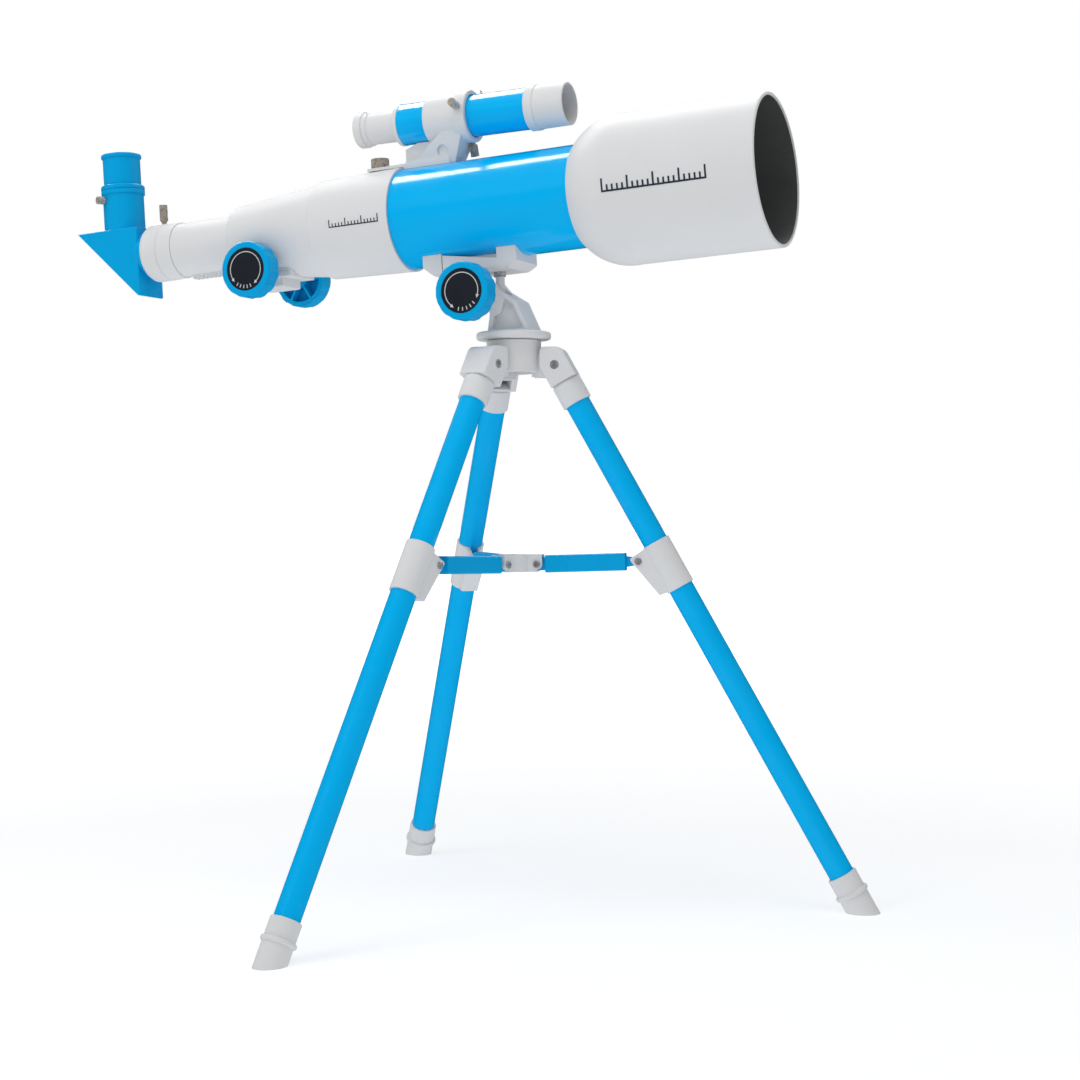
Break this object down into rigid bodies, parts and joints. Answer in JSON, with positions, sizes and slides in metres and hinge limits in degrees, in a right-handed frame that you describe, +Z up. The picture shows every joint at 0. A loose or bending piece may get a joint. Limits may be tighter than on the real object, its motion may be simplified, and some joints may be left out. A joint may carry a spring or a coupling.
{
  "type": "telescope on tripod",
  "caption": "Small refracting telescope with rack focuser, star diagonal, eyepiece and finder, on a turning, tilting head over a braced folding table tripod.",
  "frame": {"origin": "on the floor, under the middle of the whole outline", "axes": "+X is the way the telescope looks, +Z is up, +Y to the left of the view direction"},
  "size_m": [0.5241, 0.3686, 0.5048],
  "materials": {
    "white_plastic": "gloss",
    "blue_plastic": "gloss",
    "blue_paint": "gloss",
    "nickel_screw": "satin",
    "thumbscrew_metal": "satin",
    "dark_disc": "matte",
    "black_plastic": "matte",
    "optical_glass": "clear"
  },
  "bodies": {
    "base": {"tripod_hub": "white_plastic", "leg_pivot_screws": "nickel_screw", "azimuth_bolt": "nickel_screw"},
    "leg_a": {"leg_a_knuckle": "white_plastic", "leg_a_tube": "blue_paint", "leg_a_collar": "white_plastic", "leg_a_ear_screws": "nickel_screw", "leg_a_foot": "white_plastic"},
    "leg_b": {"leg_b_knuckle": "white_plastic", "leg_b_tube": "blue_paint", "leg_b_collar": "white_plastic", "leg_b_ear_screws": "nickel_screw", "leg_b_foot": "white_plastic"},
    "leg_c": {"leg_c_knuckle": "white_plastic", "leg_c_tube": "blue_paint", "leg_c_collar": "white_plastic", "leg_c_ear_screws": "nickel_screw", "leg_c_foot": "white_plastic"},
    "brace": {"brace_hub": "white_plastic", "brace_hub_screws": "nickel_screw"},
    "link_a": {"brace_link_a": "blue_plastic"},
    "link_b": {"brace_link_b": "blue_plastic"},
    "link_c": {"brace_link_c": "blue_plastic"},
    "head": {"head_post": "white_plastic", "tilt_shaft": "nickel_screw"},
    "angle_knob": {"angle_knob": "blue_plastic", "angle_knob_disc": "dark_disc"},
    "tube": {"tilt_neck": "white_plastic", "neck_nut": "nickel_screw", "cradle": "white_plastic", "main_tube": "blue_paint", "dew_shield": "white_plastic", "objective_cell": "black_plastic", "objective_lenses": "optical_glass", "rear_barrel": "white_plastic", "focuser_body": "white_plastic", "pinion_cover": "white_plastic", "finder_bracket": "white_plastic", "finder_tube": "blue_paint", "finder_rear_ring": "white_plastic", "finder_hood": "white_plastic", "finder_objective": "optical_glass"},
    "focus": {"focus_shaft": "nickel_screw", "focus_knobs": "blue_plastic", "focus_knob_discs": "dark_disc"},
    "drawtube": {"drawtube": "white_plastic", "drawtube_collar": "white_plastic"},
    "drawtube_lock": {"drawtube_lock_screw": "thumbscrew_metal"},
    "diagonal": {"diagonal_housing": "blue_plastic", "diagonal_back_plate": "blue_plastic", "diagonal_prism": "optical_glass"},
    "eyepiece_lock": {"eyepiece_lock_screw": "thumbscrew_metal"},
    "eyepiece": {"eyepiece_barrel": "blue_plastic", "eyepiece_lenses": "optical_glass"},
    "finder_eyepiece": {"finder_eyepiece": "white_plastic", "finder_eye_lens": "optical_glass"},
    "finder_screw_1": {"finder_screw_1": "thumbscrew_metal"},
    "finder_screw_2": {"finder_screw_2": "thumbscrew_metal"},
    "finder_screw_3": {"finder_screw_3": "thumbscrew_metal"},
    "finder_nut": {"finder_thumb_nut": "thumbscrew_metal"}
  },
  "joints": [
    {"name": "leg_a_fold", "type": "hinge", "parent": "base", "child": "leg_a", "pos_m": [0.04442, 0.00066, 0.33], "axis": [0.9636, -0.2672, 0], "range_deg": [0, 6]},
    {"name": "leg_b_fold", "type": "hinge", "parent": "base", "child": "leg_b", "pos_m": [0.03293, 0.0451, 0.33], "axis": [-0.7133, -0.7009, 0], "range_deg": [0, 6]},
    {"name": "leg_c_fold", "type": "hinge", "parent": "base", "child": "leg_c", "pos_m": [0.07716, 0.03284, 0.33], "axis": [-0.2504, 0.9681, 0], "range_deg": [0, 6]},
    {"name": "brace_lift", "type": "slide", "parent": "base", "child": "brace", "axis": [0, 0, 1], "range_m": [0, 0.03866]},
    {"name": "link_a_swing", "type": "hinge", "parent": "brace", "child": "link_a", "pos_m": [0.04787, 0.0131, 0.2093], "axis": [0.9636, -0.2672, 0], "range_deg": [0, 42.44]},
    {"name": "link_b_swing", "type": "hinge", "parent": "brace", "child": "link_b", "pos_m": [0.04197, 0.0359, 0.2093], "axis": [-0.7133, -0.7009, 0], "range_deg": [0, 42.44]},
    {"name": "link_c_swing", "type": "hinge", "parent": "brace", "child": "link_c", "pos_m": [0.06467, 0.0296, 0.2093], "axis": [-0.2504, 0.9681, 0], "range_deg": [0, 42.44]},
    {"name": "azimuth_turn", "type": "hinge", "parent": "base", "child": "head", "pos_m": [0.0515, 0.0262, 0.344], "axis": [0, 0, 1], "continuous": true},
    {"name": "altitude_tilt", "type": "hinge", "parent": "head", "child": "tube", "pos_m": [0.03608, 0.0262, 0.3733], "axis": [0, -1, 0], "range_deg": [-30, 55]},
    {"name": "angle_knob_turn", "type": "hinge", "parent": "head", "child": "angle_knob", "pos_m": [0.03608, 0.0262, 0.3733], "axis": [0, -1, 0], "range_deg": [-180, 180]},
    {"name": "drawtube_slide", "type": "slide", "parent": "tube", "child": "drawtube", "axis": [-0.9986, 0, -0.053], "range_m": [-0.04, 0.01]},
    {"name": "focus_turn", "type": "hinge", "parent": "tube", "child": "focus", "pos_m": [-0.11488, 0.0262, 0.39503], "axis": [0, -1, 0], "range_deg": [-458.9, 115.1]},
    {"name": "drawtube_lock_turn", "type": "hinge", "parent": "drawtube", "child": "drawtube_lock", "pos_m": [-0.20121, 0.0262, 0.43471], "axis": [-0.053, 0, 0.9986], "range_deg": [-180, 180]},
    {"name": "diagonal_turn", "type": "hinge", "parent": "drawtube", "child": "diagonal", "pos_m": [-0.20913, 0.0262, 0.41426], "axis": [0.9986, 0, 0.053], "continuous": true},
    {"name": "eyepiece_slide", "type": "slide", "parent": "diagonal", "child": "eyepiece", "axis": [-0.053, 0, 0.9986], "range_m": [0, 0.02]},
    {"name": "eyepiece_lock_turn", "type": "hinge", "parent": "diagonal", "child": "eyepiece_lock", "pos_m": [-0.23309, 0.0262, 0.45054], "axis": [-0.4534, -0.891, -0.0241], "range_deg": [-180, 180]},
    {"name": "finder_focus_slide", "type": "slide", "parent": "tube", "child": "finder_eyepiece", "axis": [0.9995, 0, 0.0307], "range_m": [-0.004, 0.003]},
    {"name": "finder_screw_1_turn", "type": "hinge", "parent": "tube", "child": "finder_screw_1", "pos_m": [0.02245, 0.0262, 0.48484], "axis": [-0.0228, 0.6691, 0.7428], "range_deg": [-180, 180]},
    {"name": "finder_screw_2_turn", "type": "hinge", "parent": "tube", "child": "finder_screw_2", "pos_m": [0.02245, 0.0262, 0.48484], "axis": [-0.0064, -0.9781, 0.2078], "range_deg": [-180, 180]},
    {"name": "finder_screw_3_turn", "type": "hinge", "parent": "tube", "child": "finder_screw_3", "pos_m": [0.02245, 0.0262, 0.48484], "axis": [0.0292, 0.309, -0.9506], "range_deg": [-180, 180]},
    {"name": "finder_nut_turn", "type": "hinge", "parent": "tube", "child": "finder_nut", "pos_m": [-0.03939, 0.0262, 0.46133], "axis": [-0.053, 0, 0.9986], "range_deg": [-360, 360]}
  ],
  "couplings": [
    {"joint": "leg_b_fold", "follows": "leg_a_fold", "ratio": 1},
    {"joint": "leg_c_fold", "follows": "leg_a_fold", "ratio": 1},
    {"joint": "brace_lift", "follows": "leg_a_fold", "m_per_rad": 0.369},
    {"joint": "link_a_swing", "follows": "leg_a_fold", "ratio": 7.07},
    {"joint": "link_b_swing", "follows": "leg_a_fold", "ratio": 7.07},
    {"joint": "link_c_swing", "follows": "leg_a_fold", "ratio": 7.07},
    {"joint": "focus_turn", "follows": "drawtube_slide", "rad_per_m": 200}
  ]
}
